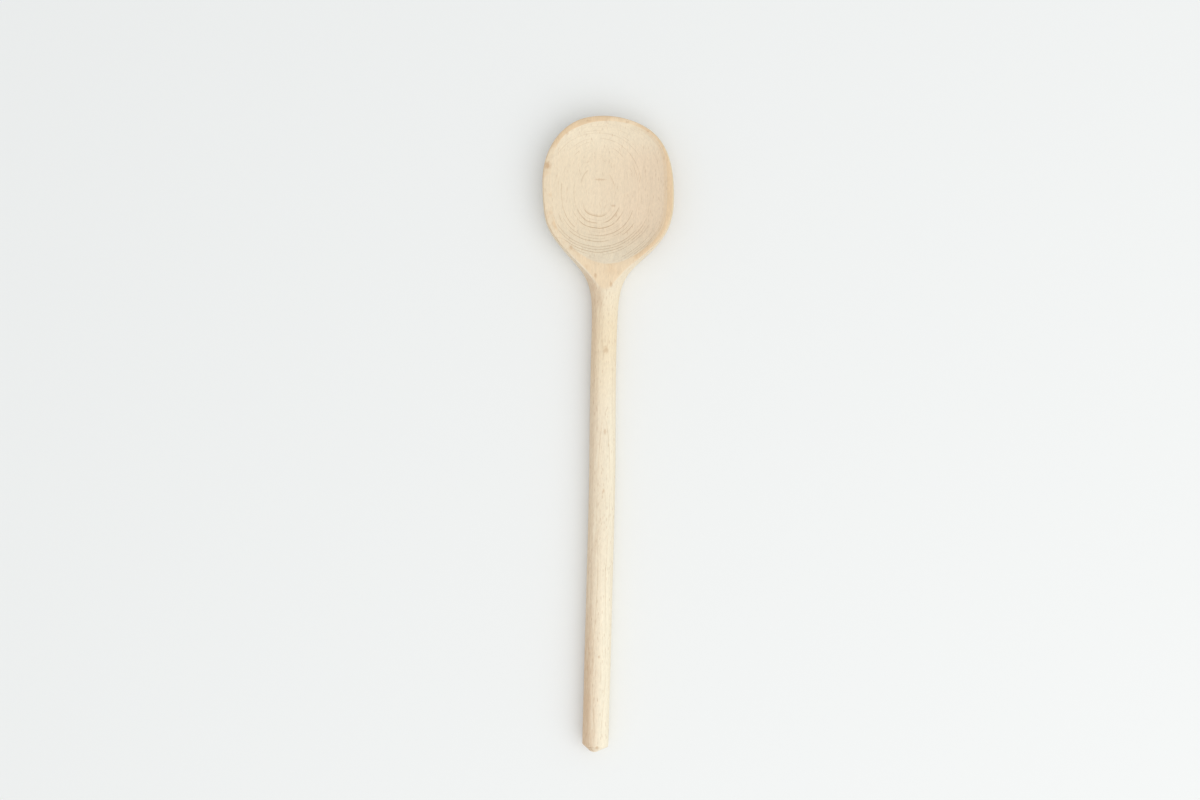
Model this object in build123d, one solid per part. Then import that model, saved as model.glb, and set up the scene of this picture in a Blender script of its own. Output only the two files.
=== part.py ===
from build123d import *
import os
from math import cos, radians, sin, sqrt, tan

# A wooden cooking spoon, turned and carved from one length of beech.
# Millimetres. +Y runs along the spoon from the end of the handle to the tip of
# the head, +X is across it and +Z is up, the way the hollow opens. The origin
# is on the surface that the spoon lies on, under the middle of its length.

# Overall
spoon_length = 300.0
cut_overrun = 20.0
curve_overrun_share = 0.2

# Outline of the turned blank. Its places are distances from the tip, and its
# reaches say how far each curve holds its direction before it bends away.
head_width = 62.6
widest_from_tip = 34.0
widest_side_reach = 16.0
waist_width = 34.8
waist_from_tip = 67.8
waist_slope = 44.4
waist_head_reach = 14.9
waist_neck_reach = 13.5
neck_diameter = 12.1
neck_from_tip = 102.5
neck_reach = 20.0
tip_round_share = 0.80
tip_side_share = 0.45

# Handle, a straight grip that tapers to the neck and ends in a cone cut askew
grip_diameter = 12.5
grip_length = 130.0
taper_share = 0.33
end_flat_diameter = 3.6
end_flat_offset = 0.7
end_cone_angle = 55.0
end_cone_lean = 7.0
end_edge_radius = 0.4

# Flat face above the neck and crowned back below it. The edge heights are what
# the back leaves of the head's side walls, where it is deepest and at the tip.
face_above_neck = 1.2
face_edge_radius = 0.8
back_below_neck = 0.45
back_edge_radius = 2.0
side_edge_height = 5.5
tip_edge_height = 4.75
back_profile_shares = (0.60, 0.88)

# Hollow, inside a rim of one width. It ends a little past the waist of the outline.
hollow_depth = 8.2
rim_width = 3.4
tip_rim_width = 3.2
hollow_past_waist = 2.4
hollow_edge_radius = 1.0
rim_crown_shares = (0.30, 0.65, 1.0)
rim_shoulder_shares = (0.55, 1.0)

# Places that follow from the sizes
tip = spoon_length / 2
handle_end = -spoon_length / 2
neck_place = tip - neck_from_tip
back_depth = neck_diameter / 2 + back_below_neck
face_height = neck_diameter / 2 + face_above_neck
head_thickness = back_depth + face_height
axis_height = max(back_depth, grip_diameter / 2)
face_level = axis_height + face_height


def blank_curves():
    """The half outline of the blank, from the tip: crown, shoulder, flare and taper."""
    start = Vector(0, tip)
    widest = Vector(head_width / 2, tip - widest_from_tip)
    waist = Vector(waist_width / 2, tip - waist_from_tip)
    inward = Vector(-sin(radians(waist_slope)), -cos(radians(waist_slope)))
    neck = Vector(neck_diameter / 2, neck_place)
    grip_top = Vector(grip_diameter / 2, handle_end + grip_length)
    tip_round = Vector(tip_round_share * head_width / 2, 0)
    tip_side = Vector(0, tip_side_share * widest_from_tip)
    side = Vector(0, widest_side_reach)
    run_out = Vector(0, neck_reach)
    taper = Vector(0, taper_share * (neck.Y - grip_top.Y))
    return [
        Bezier(start, start + tip_round, widest + tip_side, widest),
        Bezier(widest, widest - side, waist - inward * waist_head_reach, waist),
        Bezier(waist, waist + inward * waist_neck_reach, neck + run_out, neck),
        Bezier(neck, neck - taper, grip_top + taper, grip_top),
    ]


def turned_blank():
    """The round form before it is flattened, left long at the foot of the handle."""
    curves = blank_curves()
    foot = Vector(grip_diameter / 2, handle_end - cut_overrun)
    foot_centre = Vector(0, foot.Y)
    closing = [Line(curves[-1] @ 1, foot), Line(foot, foot_centre), Line(foot_centre, curves[0] @ 0)]
    return Pos(0, 0, axis_height) * revolve(make_face(curves + closing), Axis.Y)


def spun(curve):
    """The solid that a curve sweeps about the Y axis, with flat ends."""
    first = Vector(0, (curve @ 0).Y)
    last = Vector(0, (curve @ 1).Y)
    outline = [curve, Line(curve @ 1, last), Line(last, first), Line(first, curve @ 0)]
    return revolve(make_face(outline), Axis.Y)


def head_block(z_align):
    """A block over the whole head, standing on the level of the face or hanging from it."""
    size = head_width + cut_overrun
    block = Box(size, neck_from_tip + cut_overrun, size, align=(Align.CENTER, Align.MIN, z_align))
    return Pos(0, neck_place, face_level) * block


def arc_radius(width, rise):
    """The radius of an arc that is this wide and this high."""
    return ((width / 2) ** 2 + rise**2) / (2 * rise)


def back_barrel():
    """The barrel about a high axis whose underside is the crowned back of the head."""
    crown_radius = arc_radius(head_width, head_thickness - side_edge_height)
    low = [Vector(crown_radius, neck_place + share * neck_from_tip) for share in back_profile_shares]
    high = Vector(crown_radius - head_thickness + tip_edge_height, tip)
    past_tip = high + (high - low[-1]) * curve_overrun_share
    curve = Bezier(Vector(crown_radius, neck_place), *low, past_tip)
    return Pos(0, 0, axis_height - back_depth + crown_radius) * spun(curve)


def rim_point(curve, share):
    """A point of the hollow's edge, a rim's width inside the edge of the flat face."""
    place = curve @ share
    along = curve % share
    face_edge = Vector(sqrt(place.X**2 - face_height**2), place.Y)
    return face_edge + Vector(along.Y, -along.X) * rim_width


def hollow():
    """The shallow bowl, spun about an axis as high above the face as its width and depth ask."""
    crown, shoulder, *_ = blank_curves()
    edge = [Vector(0, tip - tip_rim_width)]
    edge += [rim_point(crown, share) for share in rim_crown_shares]
    edge += [rim_point(shoulder, share) for share in rim_shoulder_shares]
    edge.append(Vector(0, tip - waist_from_tip - hollow_past_waist))
    widest = rim_point(crown, 1).X
    lift = arc_radius(2 * widest, hollow_depth) - hollow_depth
    profile = [Vector(sqrt(point.X**2 + lift**2), point.Y) for point in edge]
    past_tip = profile[0] + (profile[0] - profile[1]) * curve_overrun_share
    past_waist = profile[-1] + (profile[-1] - profile[-2]) * curve_overrun_share
    return Pos(0, 0, face_level + lift) * spun(Spline(past_tip, *profile, past_waist))


def end_cone():
    """The wide leaning cone that the foot of the handle is trimmed to."""
    height = spoon_length + cut_overrun
    wide = end_flat_diameter / 2 + height * tan(radians(end_cone_angle))
    upright = (Align.CENTER, Align.CENTER, Align.MIN)
    cone = Cone(end_flat_diameter / 2, wide, height, rotation=(-90, 0, 0), align=upright)
    drop = end_flat_diameter / 2 * sin(radians(end_cone_lean))
    return Pos(end_flat_offset, handle_end + drop, axis_height) * Rot(0, 0, -end_cone_lean) * cone


def face_of(spoon):
    """The flat face on top of the head."""
    return spoon.faces().filter_by(Axis.Z).sort_by(Axis.Z)[-1]


def carved_spoon():
    """The blank with its face, back, hollow and handle end cut, and its edges sanded round."""
    planed = turned_blank() - head_block(Align.MIN)
    waste = head_block(Align.MAX) - back_barrel()
    shaved = planed - waste
    shaved = fillet(new_edges(planed, waste, combined=shaved), back_edge_radius)
    shaved = fillet(face_of(shaved).edges(), face_edge_radius)
    dished = shaved - hollow()
    dished = fillet(face_of(dished).inner_wires()[0].edges(), hollow_edge_radius)
    trimmed = dished & end_cone()
    end_edges = trimmed.edges().filter_by_position(Axis.Y, handle_end, handle_end + grip_diameter)
    return fillet(end_edges.filter_by(GeomType.LINE, reverse=True), end_edge_radius)


os.makedirs("parts", exist_ok=True)
spoon = carved_spoon()
spoon.label = "spoon"
export_step(spoon, "parts/spoon.step")
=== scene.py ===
from math import cos, pi, radians, sin, tan

import bpy
import numpy as np
from mathutils import Matrix, Vector, noise


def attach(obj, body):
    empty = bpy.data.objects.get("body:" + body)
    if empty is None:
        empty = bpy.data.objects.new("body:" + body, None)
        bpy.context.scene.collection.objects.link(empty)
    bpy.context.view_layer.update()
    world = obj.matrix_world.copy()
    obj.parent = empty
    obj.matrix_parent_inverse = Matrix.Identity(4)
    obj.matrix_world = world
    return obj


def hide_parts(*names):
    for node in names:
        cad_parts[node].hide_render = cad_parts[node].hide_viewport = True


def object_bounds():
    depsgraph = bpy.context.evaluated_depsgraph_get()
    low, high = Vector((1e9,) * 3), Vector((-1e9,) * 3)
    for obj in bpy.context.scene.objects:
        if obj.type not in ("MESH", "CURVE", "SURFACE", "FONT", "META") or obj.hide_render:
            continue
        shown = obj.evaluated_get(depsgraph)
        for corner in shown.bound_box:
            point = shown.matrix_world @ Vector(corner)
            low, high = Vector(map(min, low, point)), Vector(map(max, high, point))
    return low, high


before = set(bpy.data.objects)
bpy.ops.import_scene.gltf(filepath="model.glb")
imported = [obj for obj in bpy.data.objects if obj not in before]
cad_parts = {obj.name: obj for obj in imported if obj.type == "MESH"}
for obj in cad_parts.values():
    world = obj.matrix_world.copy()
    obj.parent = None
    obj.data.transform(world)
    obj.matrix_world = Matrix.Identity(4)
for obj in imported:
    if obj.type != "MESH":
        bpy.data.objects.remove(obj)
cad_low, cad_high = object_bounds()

# The view. The spoon lies on its back and is seen from nearly straight above, a
# little from its right, with the handle towards the bottom of the picture.
mm = 0.001
sensor_width = 36.0
view_width = 566.5 * mm
camera_distance = 750.0 * mm
spoon_lean = radians(1.25)
camera_swing = radians(2.0)
middle_right_of_picture = 1.42 * mm
middle_below_picture = 16.5 * mm

picture_right = Vector((cos(spoon_lean), sin(spoon_lean), 0))
picture_up = Vector((-sin(spoon_lean), cos(spoon_lean), 0))
towards_camera = sin(camera_swing) * picture_right + cos(camera_swing) * Vector((0, 0, 1))
looked_at = (cad_low + cad_high) / 2
looked_at -= middle_right_of_picture * picture_right
looked_at += middle_below_picture * picture_up

camera = bpy.data.objects.new("camera", bpy.data.cameras.new("camera"))
camera.data.sensor_width = sensor_width
camera.data.lens = sensor_width * camera_distance / view_width
camera_place = Matrix.Translation(looked_at + camera_distance * towards_camera)
camera_axes = Matrix((picture_up.cross(towards_camera), picture_up, towards_camera)).transposed()
camera.matrix_world = camera_place @ camera_axes.to_4x4()
bpy.context.scene.collection.objects.link(camera)
bpy.context.scene.camera = camera

# The table top. A plain pale slab, smooth and matt, that the spoon lies on and that
# catches its soft shadow. Far from the spoon it fades into the backdrop's colour, as
# a sweep of paper does.
table_half_size = 4.0
table_colour = (0.875, 0.89, 0.885, 1)
table_roughness = 0.55
table_shine = 0.25
backdrop_colour = (0.87, 0.885, 0.88, 1)
fade_start = 0.45
fade_end = 1.5

corners = [(x, y, 0) for x, y in ((-1, -1), (1, -1), (1, 1), (-1, 1))]
table_mesh = bpy.data.meshes.new("table_top")
table_mesh.from_pydata([table_half_size * Vector(corner) for corner in corners], [], [(0, 1, 2, 3)])
table_top = bpy.data.objects.new("table_top", table_mesh)
bpy.context.scene.collection.objects.link(table_top)
table_paint = bpy.data.materials.new("table_paint")
table_paint.use_nodes = True
paint = table_paint.node_tree.nodes["Principled BSDF"]
paint.inputs["Base Color"].default_value = table_colour
paint.inputs["Roughness"].default_value = table_roughness
paint.inputs["Specular IOR Level"].default_value = table_shine


def add_node(tree, kind, inputs, **settings):
    """A node with these settings, its inputs fed by numbers or by other nodes."""
    made = tree.nodes.new("ShaderNode" + kind)
    for name, value in settings.items():
        setattr(made, name, value)
    for place, value in inputs.items():
        if isinstance(value, bpy.types.NodeSocket):
            tree.links.new(value, made.inputs[place])
        else:
            made.inputs[place].default_value = value
    return made


tree = table_paint.node_tree
table_place = add_node(tree, "TexCoord", {}).outputs["Object"]
distance_out = add_node(tree, "VectorMath", {0: table_place}, operation="LENGTH").outputs["Value"]
fade_range = {"Value": distance_out, "From Min": fade_start, "From Max": fade_end}
faded = add_node(tree, "MapRange", fade_range, interpolation_type="SMOOTHSTEP").outputs["Result"]
seen = add_node(tree, "LightPath", {}).outputs["Is Camera Ray"]
seen_fade = add_node(tree, "Math", {0: faded, 1: seen}, operation="MULTIPLY").outputs["Value"]
far_colour = add_node(tree, "Emission", {"Color": backdrop_colour}).outputs["Emission"]
near_or_far = add_node(tree, "MixShader", {"Fac": seen_fade, 1: paint.outputs["BSDF"], 2: far_colour})
tree.links.new(near_or_far.outputs["Shader"], tree.nodes["Material Output"].inputs["Surface"])
table_mesh.materials.append(table_paint)

# The light. One large soft lamp hangs on the right, towards the handle, and the pale
# room fills the rest, so that the shadow falls softly to the upper left.
lamp_size = 2.8
lamp_distance = 2.0
lamp_power = 20.3
lamp_height_angle = radians(58)
lamp_turn = radians(-40)
lamp_colour = (1.0, 0.985, 0.96)
room_light = 0.72
room_colour = (0.98, 0.99, 1.0, 1)

towards_lamp = Vector((
    cos(lamp_height_angle) * cos(lamp_turn),
    cos(lamp_height_angle) * sin(lamp_turn),
    sin(lamp_height_angle),
))
lamp = bpy.data.objects.new("lamp", bpy.data.lights.new("lamp", "AREA"))
lamp.data.shape = "DISK"
lamp.data.size = lamp_size
lamp.data.energy = lamp_power
lamp.data.color = lamp_colour
lamp.location = lamp_distance * towards_lamp
lamp.rotation_euler = towards_lamp.to_track_quat("Z", "Y").to_euler()
bpy.context.scene.collection.objects.link(lamp)

room = bpy.data.worlds.new("room")
bpy.context.scene.world = room
room.use_nodes = True
tree = room.node_tree
fill = tree.nodes["Background"]
fill.inputs["Color"].default_value = room_colour
fill.inputs["Strength"].default_value = room_light
backdrop = add_node(tree, "Background", {"Color": backdrop_colour}).outputs["Background"]
seen = add_node(tree, "LightPath", {}).outputs["Is Camera Ray"]
fill_or_backdrop = add_node(tree, "MixShader", {"Fac": seen, 1: fill.outputs["Background"], 2: backdrop})
tree.links.new(fill_or_backdrop.outputs["Shader"], tree.nodes["World Output"].inputs["Surface"])
bpy.context.scene.view_settings.view_transform = "Standard"

# The spoon. One stick of beech, turned round, planed flat above the bowl, shaved
# to a crown behind it, hollowed with a round cutter and sanded by hand, so the head
# isn't quite even: its crown leans to the left, and the hollow stands to the right.
tip = 150.0 * mm
handle_end = -150.0 * mm
head_half_width = 31.35 * mm
widest_from_tip = 32.7 * mm
widest_side_reach = 17.8 * mm
waist_half_width = 16.3 * mm
waist_from_tip = 67.85 * mm
waist_slope = radians(45.7)
waist_head_reach = 18.4 * mm
waist_neck_reach = 13.1 * mm
neck_radius = 6.05 * mm
neck_from_tip = 102.4 * mm
neck_reach = 20.8 * mm
tip_round_share = 0.69
tip_side_share = 0.56
grip_radius = 6.25 * mm
grip_length = 130.0 * mm
taper_share = 0.33
outline_step = 0.5 * mm
taper_stride = 3
grip_stride = 4
points_at_once = 8192


def bezier(start, start_handle, end_handle, end):
    """Points along a cubic curve, about a step apart."""
    start, start_handle, end_handle, end = map(np.array, (start, start_handle, end_handle, end))
    count = int(np.linalg.norm(end - start) / outline_step) + 2
    t = np.linspace(0, 1, count)[:, None]
    rising = start * (1 - t) ** 3 + 3 * start_handle * t * (1 - t) ** 2
    return rising + 3 * end_handle * t**2 * (1 - t) + end * t**3


def head_outline():
    """The crown and the shoulder of the head, as half widths and places."""
    start = np.array((0, tip))
    widest = np.array((head_half_width, tip - widest_from_tip))
    waist = np.array((waist_half_width, tip - waist_from_tip))
    inward = np.array((-sin(waist_slope), -cos(waist_slope)))
    tip_round = np.array((tip_round_share * head_half_width, 0))
    tip_side = np.array((0, tip_side_share * widest_from_tip))
    side = np.array((0, widest_side_reach))
    crown = bezier(start, start + tip_round, widest + tip_side, widest)
    shoulder = bezier(widest, widest - side, waist - inward * waist_head_reach, waist)
    return crown, shoulder


def whole_outline():
    """The half outline of the turned stick, from its tip to past the end of the handle."""
    crown, shoulder = head_outline()
    waist = shoulder[-1]
    inward = np.array((-sin(waist_slope), -cos(waist_slope)))
    neck = np.array((neck_radius, tip - neck_from_tip))
    grip_top = np.array((grip_radius, handle_end + grip_length))
    foot = np.array((grip_radius, handle_end - grip_length / 2))
    run_out = np.array((0, neck_reach))
    taper = np.array((0, taper_share * (neck[1] - grip_top[1])))
    flare = bezier(waist, waist + inward * waist_neck_reach, neck + run_out, neck)
    thinning = bezier(neck, neck - taper, grip_top + taper, grip_top)
    grip = bezier(grip_top, grip_top, foot, foot)
    return np.vstack([crown, shoulder[1:], flare[1:], thinning[1:-1:taper_stride], grip[::grip_stride]])


def spun_distance(curve, radius, place):
    """How far points lie outside a turned form, in the plane of its outline."""
    along = np.gradient(curve, axis=0)
    along /= np.linalg.norm(along, axis=1)[:, None]
    outward = np.stack([-along[:, 1], along[:, 0]], axis=1)
    points = np.stack([radius, place], axis=1)
    distance = np.empty(len(points))
    for first in range(0, len(points), points_at_once):
        some = points[first:first + points_at_once]
        gap = (some[:, None, 0] - curve[None, :, 0]) ** 2 + (some[:, None, 1] - curve[None, :, 1]) ** 2
        nearest = gap.argmin(axis=1)
        distance[first:first + points_at_once] = ((some - curve[nearest]) * outward[nearest]).sum(axis=1)
    return distance


# How far the head stands to the right of the handle's axis, by the distance from the
# tip, and how much further the hollow does.
skew_places = np.array([
    0, 4, 8.5, 15.5, 24.5, 33.5, 43.5, 53.5, 61.5, 69.5, 79.5, 105, 140, 165, 200,
]) * mm
skew_offsets = np.array([
    -2.6, -1.35, -0.75, -0.45, -0.35, -0.03, 0.28, 0.22, 0.15, -0.35, -0.4, -0.5, -0.35, 0, 0,
]) * mm
hollow_offset = 0.7 * mm


def spline(places, values):
    """A natural cubic spline through values at rising places, run on straight past its ends."""
    steps = np.diff(places)
    slopes = np.diff(values) / steps
    bends = np.zeros(len(places))
    system = np.diag(2 * (steps[:-1] + steps[1:])) + np.diag(steps[1:-1], 1) + np.diag(steps[1:-1], -1)
    bends[1:-1] = np.linalg.solve(system, 6 * np.diff(slopes))

    def value(place):
        inside = np.clip(place, places[0], places[-1])
        left = np.clip(np.searchsorted(places, inside) - 1, 0, len(steps) - 1)
        t = inside - places[left]
        slope = slopes[left] - steps[left] * (2 * bends[left] + bends[left + 1]) / 6
        turn = (bends[left + 1] - bends[left]) / steps[left]
        end_slope = slope + t * (bends[left] + t * turn / 2)
        curved = values[left] + t * (slope + t * (bends[left] / 2 + t * turn / 6))
        return curved + (place - inside) * end_slope

    return value


skew = spline(skew_places, skew_offsets)

# The flat face and the crowned back.
axis_height = 6.5 * mm
face_height = 7.25 * mm
face_level = axis_height + face_height
side_edge_height = 5.5 * mm
tip_edge_height = 4.75 * mm
back_profile_shares = (0.60, 0.88)
back_overrun_share = 0.2

# The hollow, by the distances of its edge from the tip and its half widths there.
hollow_depth = 8.2 * mm
hollow_places = np.array([2.8, 4.1, 8.2, 13.0, 21.5, 32.5, 43.4, 51.4, 57.6, 63.6, 70.0]) * mm
hollow_half_widths = np.array([0, 9.6, 19.0, 23.6, 26.6, 27.2, 26.8, 25.3, 21.8, 15.6, 0]) * mm

# How softly the edges are sanded.
back_edge_softness = 2.3 * mm
face_edge_softness = 0.65 * mm
hollow_edge_softness = 0.35 * mm
end_edge_softness = 0.35 * mm

# The foot of the handle, trimmed to a blunt cone that leans.
end_flat_radius = 1.3 * mm
end_flat_offset = -1.2 * mm
end_cone_angle = radians(56)
end_cone_lean = radians(9.5)


def arc_radius(width, rise):
    """The radius of an arc that is this wide and this high."""
    return ((width / 2) ** 2 + rise**2) / (2 * rise)


def back_profile():
    """The radius of the barrel that shapes the back, by its place along the spoon."""
    radius = arc_radius(2 * head_half_width, face_level - side_edge_height)
    neck_place = tip - neck_from_tip
    low = [np.array((radius, neck_place + share * neck_from_tip)) for share in back_profile_shares]
    high = np.array((radius - face_level + tip_edge_height, tip))
    curve = bezier((radius, neck_place), *low, high + (high - low[-1]) * back_overrun_share)
    return radius, curve


outline = whole_outline()
barrel_radius, barrel_curve = back_profile()
hollow_lift = arc_radius(2 * hollow_half_widths.max(), hollow_depth) - hollow_depth
hollow_radius = spline(tip - hollow_places[::-1], np.hypot(hollow_half_widths, hollow_lift)[::-1])


def sanded(one, other, softness):
    """What lies inside both forms, with the edge between them rounded off."""
    near = np.maximum(softness - np.abs(one - other), 0)
    return np.maximum(one, other) + near**2 / (4 * softness)


def outside_back(x, y, z):
    """How far points lie below the crowned back."""
    radius = np.interp(y, barrel_curve[:, 1], barrel_curve[:, 0])
    return np.hypot(x, z - barrel_radius) - radius


def inside_hollow(x, y, z):
    """How far points lie inside the hollow."""
    reach = hollow_radius(y)
    slope = (hollow_radius(y + mm) - reach) / mm
    across = np.hypot(x - hollow_offset, z - face_level - hollow_lift)
    return (reach - across) / np.sqrt(1 + slope**2)


def beyond_end(x, y, z):
    """How far points lie past the cone that the foot of the handle is trimmed to."""
    x = x - end_flat_offset
    y = y - handle_end - end_flat_radius * sin(end_cone_lean)
    along = x * sin(end_cone_lean) + y * cos(end_cone_lean)
    across = np.hypot(x * cos(end_cone_lean) - y * sin(end_cone_lean), z - axis_height)
    cone = (across - end_flat_radius - along * tan(end_cone_angle)) * cos(end_cone_angle)
    return sanded(cone, -along, end_edge_softness)


def outside_spoon(x, y, z):
    """How far points lie outside the finished wood."""
    x = x - skew(tip - y)
    turned = spun_distance(outline, np.hypot(x, z - axis_height), y)
    shaved = sanded(turned, outside_back(x, y, z), back_edge_softness)
    planed = sanded(shaved, z - face_level, face_edge_softness)
    dished = sanded(planed, inside_hollow(x, y, z), hollow_edge_softness)
    return sanded(dished, beyond_end(x, y, z), end_edge_softness)


# The skin of the wood, a fine even net of four-sided faces laid over the solid and
# drawn onto the forms above.
net_size = 0.5 * mm
drawing_rounds = 5
probe = 0.01 * mm
least_fall = 0.25

# Sanding by hand leaves the wood a hair uneven, and the trimmed end is torn.
sanding_depth = 0.12 * mm
sanding_spacing = (10 * mm, 28 * mm, 10 * mm)
tear_depth = 0.34 * mm
tear_spacing = (0.9 * mm, 1.6 * mm, 0.9 * mm)
torn_from = handle_end + 4.2 * mm


def clouds(places, spacing):
    """Soft cloudy values from 0 to 1, one cloud to a spacing."""
    return np.array([0.5 + 0.5 * noise.noise(Vector(spot)) for spot in places / spacing])


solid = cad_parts["spoon"]
netted = bpy.data.objects.new("netted", solid.data.copy())
bpy.context.scene.collection.objects.link(netted)
net = netted.modifiers.new("net", "REMESH")
net.mode = "VOXEL"
net.voxel_size = net_size
skin = bpy.data.meshes.new_from_object(netted.evaluated_get(bpy.context.evaluated_depsgraph_get()))
bpy.data.objects.remove(netted)

places = np.empty(3 * len(skin.vertices))
skin.vertices.foreach_get("co", places)
places = places.reshape(-1, 3)
x, y, z = places.T
in_hollow = np.clip(inside_hollow(x + hollow_offset, y, z) / mm + 1, 0, 1)
places[:, 0] += skew(tip - y) + hollow_offset * in_hollow
for _ in range(drawing_rounds):
    x, y, z = places.T
    off = outside_spoon(x, y, z)
    fall = np.stack([
        outside_spoon(x + probe, y, z) - off,
        outside_spoon(x, y + probe, z) - off,
        outside_spoon(x, y, z + probe) - off,
    ], axis=1) / probe
    places -= fall * (off / np.maximum((fall**2).sum(axis=1), least_fall))[:, None]
outward = fall / np.linalg.norm(fall, axis=1)[:, None]
sunk = sanding_depth * clouds(places, sanding_spacing)
sunk += tear_depth * clouds(places, tear_spacing) * np.clip((torn_from - places[:, 1]) / mm, 0, 1)
places -= outward * sunk[:, None]
skin.vertices.foreach_set("co", places.ravel())
skin.update()
skin.shade_smooth()
skin.name = "wooden_spoon"
skin.materials.clear()

spoon = bpy.data.objects.new("wooden_spoon", skin)
bpy.context.scene.collection.objects.link(spoon)
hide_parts("spoon")
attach(spoon, "root")

# The beech itself, bare and sanded. Its growth layers lie nearly flat in the stick, so
# the hollow cuts them in broken rings, and the handle shows them as long lines among
# short dark rays. The rim is rubbed warmer. One side of the handle is browner, partly a
# streak in the wood and partly painted shade, and painted light and shade lie on the
# handle's sides, its foot and the head's edges.
pith_aside = -24.0
pith_depth = -160.0
layer_thickness = 0.8
fine_layer_thickness = 0.27
slow_wander = 1.8
quick_wander = 0.5
slow_cloud = (45.0, 130.0, 45.0)
quick_cloud = (9.0, 24.0, 9.0)
wave_height = 2.4
wave_length = 90.0
wave_lost_on_handle = 0.85
handle_merges = (45.0, 80.0)
level_across = -4.2
level_along = 113.0
dark_years = ((211.0, 0.85), (219.0, 1.35))
half_year = 0.5
year_to_year = 7.3
line_length = 9.0
fine_line_length = 6.0
line_darkens = (0.78, 0.93)
line_ends = (0.95, 1.0)
line_depths = (0.1, 0.8)
line_depth = 0.8
line_whole = (0.47, 0.58)
dark_line_whole = (0.30, 0.42)
whole_towards_neck = 0.12
dark_line_from = (60.0, 80.0)
fine_line_start = 0.37
ray_spacing = (0.55, 3.4, 2.6)
ray_slimness = 0.34
ray_rarity = 0.3
broad_ray_spacing = (1.5, 7.0, 3.4)
broad_ray_slimness = 0.22
broad_ray_rarity = 0.6
pore_spacing = (0.16, 5.0, 0.16)
grit_spacing = (0.7, 1.8, 0.7)
streak_spacing = (1.7, 60.0, 1.7)
dash_spacing = (0.9, 6.0, 0.9)
patch_spacing = (22.0, 30.0, 22.0)
rim_patch_spacing = (6.0, 6.0, 6.0)
head_middle = 116.0
straw = (0.820, 0.700, 0.520, 1)
straw_ends = (0.848, 0.752, 0.580, 1)
rosy = (0.850, 0.695, 0.515, 1)
late_wood = (0.530, 0.355, 0.195, 1)
ray_brown = (0.560, 0.370, 0.220, 1)
rubbed = (0.845, 0.675, 0.465, 1)
browned = (0.760, 0.560, 0.350, 1)
handle_cream = (0.880, 0.765, 0.585, 1)
handle_painted_light = (0.890, 0.805, 0.630, 1)
neck_peach = (0.870, 0.725, 0.500, 1)
foot_painted_light = (0.940, 0.860, 0.680, 1)
foot_painted_shade = (0.800, 0.650, 0.480, 1)
handle_brown_and_shade = (0.700, 0.515, 0.345, 1)
torn_brown = (0.480, 0.320, 0.180, 1)
painted_light_yellow = (0.820, 0.700, 0.460, 1)
painted_highlight_cream = (0.930, 0.850, 0.700, 1)
knot_brown = (0.560, 0.350, 0.180, 1)

beech = bpy.data.materials.new("beech")
beech.use_nodes = True
surface = beech.node_tree.nodes["Principled BSDF"]


def node(kind, inputs, **settings):
    """A node of the beech."""
    return add_node(beech.node_tree, kind, inputs, **settings)


def maths(operation, one, other=0.0):
    """One step of arithmetic on one or two values."""
    return node("Math", {0: one, 1: other}, operation=operation).outputs[0]


def times(*values):
    """The product of all the values."""
    product = values[0]
    for value in values[1:]:
        product = maths("MULTIPLY", product, value)
    return product


def rest(value):
    """What is left of one."""
    return maths("SUBTRACT", 1.0, value)


def fade(value, low, high):
    """Rises softly from 0 to 1 while the value goes from low to high."""
    inputs = {"Value": value, "From Min": low, "From Max": high}
    return node("MapRange", inputs, interpolation_type="SMOOTHSTEP").outputs["Result"]


def blended(one, other, share):
    """A colour between two colours."""
    return node("Mix", {0: share, 6: one, 7: other}, data_type="RGBA").outputs[2]


def spaced(place, spacing):
    """A place counted in these spacings along x, y and z."""
    return node("VectorMath", {0: place, 1: spacing}, operation="DIVIDE").outputs[0]


def mottle(place, detail=2.0):
    """Soft cloudy values about one half, one cloud to a spacing."""
    return node("TexNoise", {"Vector": place, "Scale": 1.0, "Detail": detail}).outputs["Fac"]


def around(value, spread):
    """A mottle turned into a deviation from zero."""
    return times(maths("SUBTRACT", value, 0.5), spread)


# Where a spot is in the spoon, in millimetres, which way its surface faces, how old
# its wood is, as a distance from the pith, and how far it lies round the pith.
spot = node("TexCoord", {}).outputs
place = node("VectorMath", {0: spot["Object"], "Scale": 1 / mm}, operation="SCALE").outputs[0]
across, along, up = node("SeparateXYZ", {0: place}).outputs
facing_across, facing_along, facing_up = node("SeparateXYZ", {0: spot["Normal"]}).outputs
slow = around(mottle(spaced(place, slow_cloud)), slow_wander)
quick = around(mottle(spaced(place, quick_cloud)), quick_wander)
from_pith = maths("SUBTRACT", across, pith_aside)
above_pith = maths("SUBTRACT", up, pith_depth)
pith_distance = maths("SQRT", maths("ADD", times(from_pith, from_pith), times(above_pith, above_pith)))
wave_turn = times(maths("SUBTRACT", along, level_along), 2 * pi / wave_length)
on_handle = rest(fade(along, *handle_merges))
wave = times(rest(maths("COSINE", wave_turn)), rest(times(on_handle, wave_lost_on_handle)), wave_height)
age = maths("ADD", maths("ADD", pith_distance, wave), maths("ADD", slow, quick))
turn = times(maths("ARCTAN2", from_pith, above_pith), -pith_depth)


def dark_year(year):
    """The years that stand out where the bowl's floor cuts them towards the neck."""
    found = [
        times(node("Math", {0: year, 1: dark, 2: half_year}, operation="COMPARE").outputs[0], depth)
        for dark, depth in dark_years
    ]
    return times(maths("MAXIMUM", *found), towards_neck, fade(along, *dark_line_from))


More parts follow.
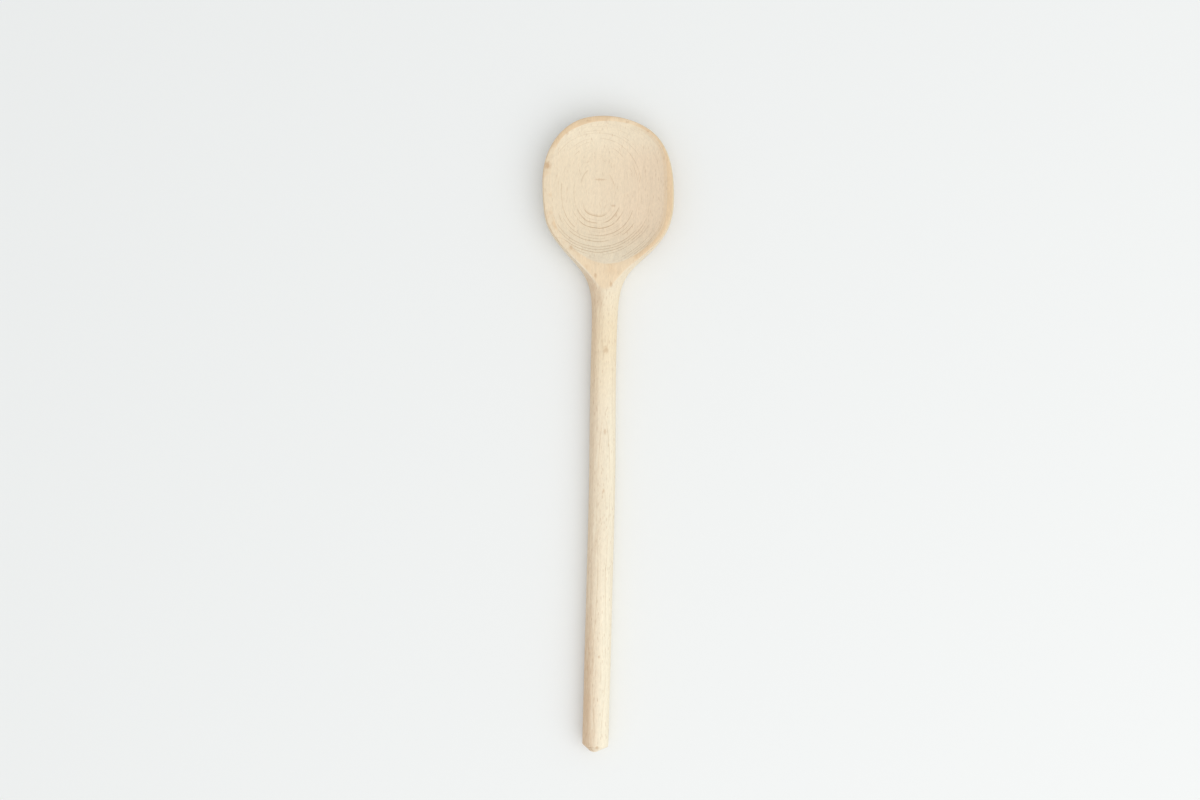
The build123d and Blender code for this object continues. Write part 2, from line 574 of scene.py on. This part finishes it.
def layers(thickness, start, length):
    """Dark broken lines at the end of each year's growth, some years darker than others."""
    years = maths("ADD", maths("DIVIDE", age, thickness), start)
    season = maths("FRACT", years)
    year = maths("FLOOR", years)
    strength = node("TexWhiteNoise", {"W": year}, noise_dimensions="1D").outputs["Value"]
    line = times(fade(season, *line_darkens), rest(fade(season, *line_ends)))
    along_line = spaced(place, (length, length, length))
    run_across, run_along, _ = node("SeparateXYZ", {0: along_line}).outputs
    run = node("CombineXYZ", {0: run_across, 1: run_along, 2: times(year, year_to_year)})
    broken = mottle(run.outputs[0])
    shown = fade(maths("ADD", broken, times(towards_neck, whole_towards_neck)), *line_whole)
    shown = times(fade(strength, *line_depths), shown, line_depth)
    marked = times(dark_year(year), fade(broken, *dark_line_whole))
    return times(line, maths("MAXIMUM", shown, marked))


def rays(spacing, slimness, rarity):
    """Short dark spindles along the grain, one to a cell at most."""
    cell = node("TexVoronoi", {"Vector": spaced(ray_place, spacing), "Scale": 1.0})
    weight = fade(node("SeparateColor", {0: cell.outputs["Color"]}).outputs[0], rarity, 1.0)
    return times(rest(fade(cell.outputs["Distance"], slimness / 2, slimness)), weight)


# How far a spot is from where the layers lie level under the bowl's floor, and the
# marks of the wood: two sets of yearly lines, rays, pores, grit, streaks and dashes.
neck_direction = (0.3, 0.95)
fine_detail = 3.0
level_gap_across = maths("SUBTRACT", across, level_across)
level_gap_along = maths("SUBTRACT", level_along, along)
level_gap_squared = times(level_gap_across, level_gap_across)
level_gap_squared = maths("ADD", level_gap_squared, times(level_gap_along, level_gap_along))
level_gap = maths("SQRT", level_gap_squared)
towards_neck = fade(maths("DIVIDE", level_gap_along, level_gap), *neck_direction)
yearly = layers(layer_thickness, 0.0, line_length)
finer = layers(fine_layer_thickness, fine_line_start, fine_line_length)
ray_place = node("CombineXYZ", {0: turn, 1: along, 2: age}).outputs[0]
fine_rays = rays(ray_spacing, ray_slimness, ray_rarity)
broad_rays = rays(broad_ray_spacing, broad_ray_slimness, broad_ray_rarity)
pores = mottle(spaced(place, pore_spacing), fine_detail)
grit = mottle(spaced(place, grit_spacing), fine_detail)
streaks = mottle(spaced(place, streak_spacing))
dashes = mottle(spaced(place, dash_spacing), fine_detail)
patches = mottle(spaced(place, patch_spacing))
rim_patches = mottle(spaced(place, rim_patch_spacing))

# The ground colour of the bowl, rosier to the right and paler at both ends.
rosy_run = 50.0
rosy_range = (0.15, 0.85)
bowl_ends = (15.0, 30.0)
bowl_ends_share = 0.8
rosier = maths("ADD", maths("DIVIDE", across, rosy_run), patches)
at_bowl_end = fade(maths("ABSOLUTE", level_gap_along), *bowl_ends)
ground = blended(straw, rosy, fade(rosier, *rosy_range))
ground = blended(ground, straw_ends, times(at_bowl_end, bowl_ends_share))

# The ground colour of the handle, peach at the neck, paler on its right side with painted
# light, and at the foot brown on the left with painted shade and creamy on the right with
# painted light.
pale_right = (-1.0, 4.5)
peach_from = (0.0, 55.0)
peach_share = 0.8
foot_brown_from = (-60.0, -145.0)
foot_brown_left = (2.0, -3.0)
foot_cream_from = (-50.0, -90.0)
foot_cream_right = (0.0, 2.5)
foot_share = 0.6
# painted light: the handle's right side is paler
ground = blended(ground, blended(handle_cream, handle_painted_light, fade(across, *pale_right)), on_handle)
ground = blended(ground, neck_peach, times(on_handle, fade(along, *peach_from), peach_share))
# painted shade on the foot's left side and painted light on its right side
shaded_foot = times(fade(along, *foot_brown_from), fade(across, *foot_brown_left), foot_share)
lit_foot = times(fade(along, *foot_cream_from), fade(across, *foot_cream_right), foot_share)
ground = blended(blended(ground, foot_painted_shade, shaded_foot), foot_painted_light, lit_foot)

# The handle's left side, browner partly as a streak in the wood and partly as painted
# shade, ragged where it meets the paler wood.
streak_rag = 5.0
dash_rag = 11.0
brown_left = (-0.3, -5.2)
head_from = (70.0, 88.0)
brown_share = 0.5
neck_browns = (10.0, 55.0)
neck_brown_share = 0.2
foot_browns = (-65.0, -125.0)
foot_brown_share = 0.5
dash_range = (0.35, 0.60)
dash_share = 0.5
between_dashes = 0.7
ragged_across = maths("ADD", maths("ADD", across, around(streaks, streak_rag)), around(dashes, dash_rag))
brown_and_shaded_side = fade(ragged_across, *brown_left)
below_head = rest(fade(along, *head_from))
neck_browner = times(fade(along, *neck_browns), neck_brown_share)
foot_browner = times(fade(along, *foot_browns), foot_brown_share)
dashed = maths("ADD", between_dashes, times(fade(dashes, *dash_range), dash_share))
browner = times(maths("ADD", maths("ADD", neck_browner, foot_browner), brown_share), dashed)
# painted shade: the handle's left side is darkened to brown, partly a streak in the wood
ground = blended(ground, handle_brown_and_shade, times(below_head, brown_and_shaded_side, browner))

# The flat rim, rubbed warm, paler on its left and browned in patches on its right and to
# the left of the tip.
face_from = (13.42, 13.66)
face_grit = 0.15
rim_from = (66.0, 70.0)
pale_left_until = (-23.0, -9.0)
pale_until = (128.0, 138.0)
pale_share = 0.65
right_from = (8.0, 26.0)
right_heat = 0.42
tip_from = (130.0, 142.0)
tip_left = (6.0, -8.0)
tip_heat = 0.32
heat_range = (0.45, 0.75)
heat_from = (72.0, 82.0)
heat_share = 0.8
near_face = fade(maths("ADD", up, around(grit, face_grit)), *face_from)
on_rim = times(near_face, fade(along, *rim_from))
pale_side = times(rest(fade(across, *pale_left_until)), rest(fade(along, *pale_until)))
ground = blended(ground, rubbed, times(on_rim, rest(times(pale_side, pale_share))))
rightness = fade(across, *right_from)
left_of_tip = times(fade(along, *tip_from), fade(across, *tip_left), tip_heat)
heat = maths("ADD", maths("ADD", times(rightness, right_heat), left_of_tip), rim_patches)
browned_rim = times(on_rim, fade(heat, *heat_range), fade(along, *heat_from), heat_share)
ground = blended(ground, browned, browned_rim)

# The rim's edges, darker from wear and painted shade, the right side of the head made
# yellower with painted light, and a painted highlight along the edge left of the neck.
outer_range = (-0.05, 0.15)
edge_up = (12.4, 13.0)
edge_round = (0.75, 0.985)
edge_from = (78.0, 95.0)
edge_share = 0.7
side_faces = (0.3, 0.6)
side_up = (6.0, 12.0)
side_from = (78.0, 112.0)
side_share = 0.6
neck_edge_up = (13.0, 13.35)
neck_edge_faces = (-0.1, -0.35)
neck_edge_left = (-1.0, -2.5)
neck_edge_until = (80.0, 90.0)
neck_edge_from = (69.0, 75.0)
neck_edge_share = 0.5
past_middle = maths("SUBTRACT", along, head_middle)
outward_across = times(facing_across, maths("DIVIDE", across, head_half_width / mm))
outward_along = times(facing_along, maths("DIVIDE", past_middle, head_half_width / mm))
outer_side = fade(maths("ADD", outward_across, outward_along), *outer_range)
edges = times(fade(up, *edge_up), rest(fade(facing_up, *edge_round)), fade(along, *edge_from))
# wear and painted shade: the rim's edges are darkened on their outer side, and all round on the right
worn_and_shaded_edges = times(edges, maths("MAXIMUM", times(outer_side, rest(rightness)), rightness))
ground = blended(ground, browned, times(worn_and_shaded_edges, edge_share))
# painted light: the head's right flank, where it faces the lamp, is tinted yellower
lit_right_side = times(rightness, fade(facing_across, *side_faces), fade(up, *side_up))
lit_right_side = times(lit_right_side, fade(along, *side_from), side_share)
ground = blended(ground, painted_light_yellow, lit_right_side)
# painted highlight: a pale line along the flat face's edge to the left of the neck
neck_edge_highlight = times(fade(up, *neck_edge_up), fade(facing_across, *neck_edge_faces))
neck_edge_highlight = times(neck_edge_highlight, fade(across, *neck_edge_left), rest(fade(along, *neck_edge_until)))
neck_edge_highlight = times(neck_edge_highlight, fade(along, *neck_edge_from), neck_edge_share)
ground = blended(ground, painted_highlight_cream, neck_edge_highlight)

# The lines show best towards the neck, and little on the flat rim, at the neck and the
# foot, and where the handle's surface runs level with the layers.
level_place = (6.0, 11.0)
least_shown = 0.55
neck_shown = 0.6
right_shown = 0.35
shown_right = (2.0, 14.0)
neck_plain_from = (35.0, 55.0)
neck_plain_until = (80.0, 86.0)
foot_plain_from = (-134.0, -142.0)
plainness = 0.85
handle_plainness = 0.6
level_plainness = 0.36
level_range = (0.980, 0.996)
shown_best = times(towards_neck, maths("ADD", neck_shown, times(fade(across, *shown_right), right_shown)))
clear = times(fade(level_gap, *level_place), maths("ADD", least_shown, shown_best))
plain_neck = times(fade(along, *neck_plain_from), rest(fade(along, *neck_plain_until)))
plain_places = maths("ADD", plain_neck, fade(along, *foot_plain_from))
clear = times(clear, rest(times(near_face, plainness)), rest(times(plain_places, plainness)))
level = maths("ADD", times(facing_across, from_pith), times(facing_up, above_pith))
level = maths("ABSOLUTE", maths("DIVIDE", level, pith_distance))
level_plain = maths("ADD", handle_plainness, times(fade(level, *level_range), level_plainness))
clear = times(clear, rest(times(on_handle, level_plain)))

# Ground, lines and rays together, and the fine uneven tone over them.
fine_line_share = 0.5
ray_share = 0.36
handle_ray_share = 0.14
broad_ray_share = 0.32
pore_tone = 0.18
streak_tone = 0.14
grit_tone = 0.22
lines = times(maths("ADD", yearly, times(finer, fine_line_share)), clear)
flecks = times(fine_rays, maths("ADD", ray_share, times(on_handle, handle_ray_share)))
flecks = maths("ADD", flecks, times(broad_rays, broad_ray_share))
grained = blended(blended(ground, late_wood, lines), ray_brown, flecks)
tone = maths("ADD", around(streaks, streak_tone), around(grit, grit_tone))
tone = maths("ADD", maths("ADD", 1.0, around(pores, pore_tone)), tone)
toned = node("VectorMath", {0: grained, "Scale": tone}, operation="SCALE").outputs[0]

# Small knots and specks, by their places across and along, their sizes and depths.
knots = (
    (-28.4, 125.6, 1.7, 2.2, 0.70),
    (-16.6, 87.2, 0.9, 1.6, 0.45),
    (-5.0, 74.5, 0.6, 1.4, 0.55),
    (2.4, 70.7, 0.7, 1.4, 0.50),
    (-4.0, 120.6, 3.2, 0.5, 0.40),
    (2.6, 108.3, 1.2, 0.6, 0.40),
    (-9.8, 146.9, 1.0, 0.5, 0.40),
    (-19.6, 140.9, 0.8, 0.8, 0.35),
    (8.5, 146.6, 1.0, 0.6, 0.35),
    (18.2, 142.5, 0.9, 0.6, 0.45),
    (0.6, 40.0, 1.3, 2.1, 0.42),
    (1.1, 1.6, 0.8, 1.3, 0.42),
    (1.0, -26.0, 0.5, 1.2, 0.45),
    (0.7, -104.0, 0.7, 0.9, 0.32),
    (0.6, -146.8, 0.9, 1.1, 0.55),
)
knot_raggedness = 1.2
knot_range = (0.3, 1.3)
knot_up = (4.6, 5.4)
spotted = toned
for knot_across, knot_along, half_wide, half_long, strength in knots:
    gap_across = maths("DIVIDE", maths("SUBTRACT", across, knot_across), half_wide)
    gap_along = maths("DIVIDE", maths("SUBTRACT", along, knot_along), half_long)
    gap = maths("SQRT", maths("ADD", times(gap_across, gap_across), times(gap_along, gap_along)))
    inside = rest(fade(maths("ADD", gap, around(grit, knot_raggedness)), *knot_range))
    spotted = blended(spotted, knot_brown, times(inside, fade(up, *knot_up), strength))

# The trimmed end of the handle shows torn end grain, darker on its left side with painted shade.
fibre_spacing = (0.5, 2.0, 2.0)
fibre_range = (0.45, 0.60)
torn_raggedness = 1.2
torn_starts = (0.3, 0.9)
torn_stops = (2.0, 3.2)
torn_left = (-0.5, -3.0)
left_shade_share = 0.8
torn_share = 0.12
from_axis_up = maths("SUBTRACT", up, axis_height / mm)
from_axis = maths("SQRT", maths("ADD", times(across, across), times(from_axis_up, from_axis_up)))
cone_reach = times(maths("SUBTRACT", along, handle_end / mm), tan(end_cone_angle))
past_end = maths("SUBTRACT", from_axis, cone_reach)
fibre_place = node("CombineXYZ", {0: past_end, 1: across, 2: up}).outputs[0]
fibres = fade(mottle(spaced(fibre_place, fibre_spacing), fine_detail), *fibre_range)
ragged_end = maths("ADD", past_end, around(grit, torn_raggedness))
torn = times(fade(ragged_end, *torn_starts), rest(fade(past_end, *torn_stops)))
# torn grain, with painted shade making its left side darker
torn_depth = maths("ADD", times(fade(across, *torn_left), left_shade_share), torn_share)
torn_tone = times(torn, fibres, torn_depth)
finished = blended(spotted, torn_brown, torn_tone)

# Bare wood is matt, a little smoother on the rubbed rim. Its pores and lines stand proud
# and its rays and torn fibres are sunk, by hundredths of a millimetre.
wood_roughness = 0.62
rim_smoother = 0.14
pore_roughness = 0.2
wood_shine = 0.35
pore_relief = 0.6
line_relief = 0.5
ray_relief = 0.3
torn_relief = 2.0
relief_strength = 0.5
relief_depth = 0.06 * mm
links = beech.node_tree.links
links.new(finished, surface.inputs["Base Color"])
roughness = maths("SUBTRACT", wood_roughness, times(on_rim, rim_smoother))
roughness = maths("ADD", roughness, around(pores, pore_roughness))
links.new(roughness, surface.inputs["Roughness"])
surface.inputs["Specular IOR Level"].default_value = wood_shine
proud = maths("ADD", times(pores, pore_relief), times(yearly, line_relief))
sunken = maths("ADD", times(fine_rays, ray_relief), times(torn_tone, torn_relief))
relief = maths("SUBTRACT", proud, sunken)
bump = node("Bump", {"Height": relief, "Strength": relief_strength, "Distance": relief_depth})
links.new(bump.outputs["Normal"], surface.inputs["Normal"])
skin.materials.append(beech)
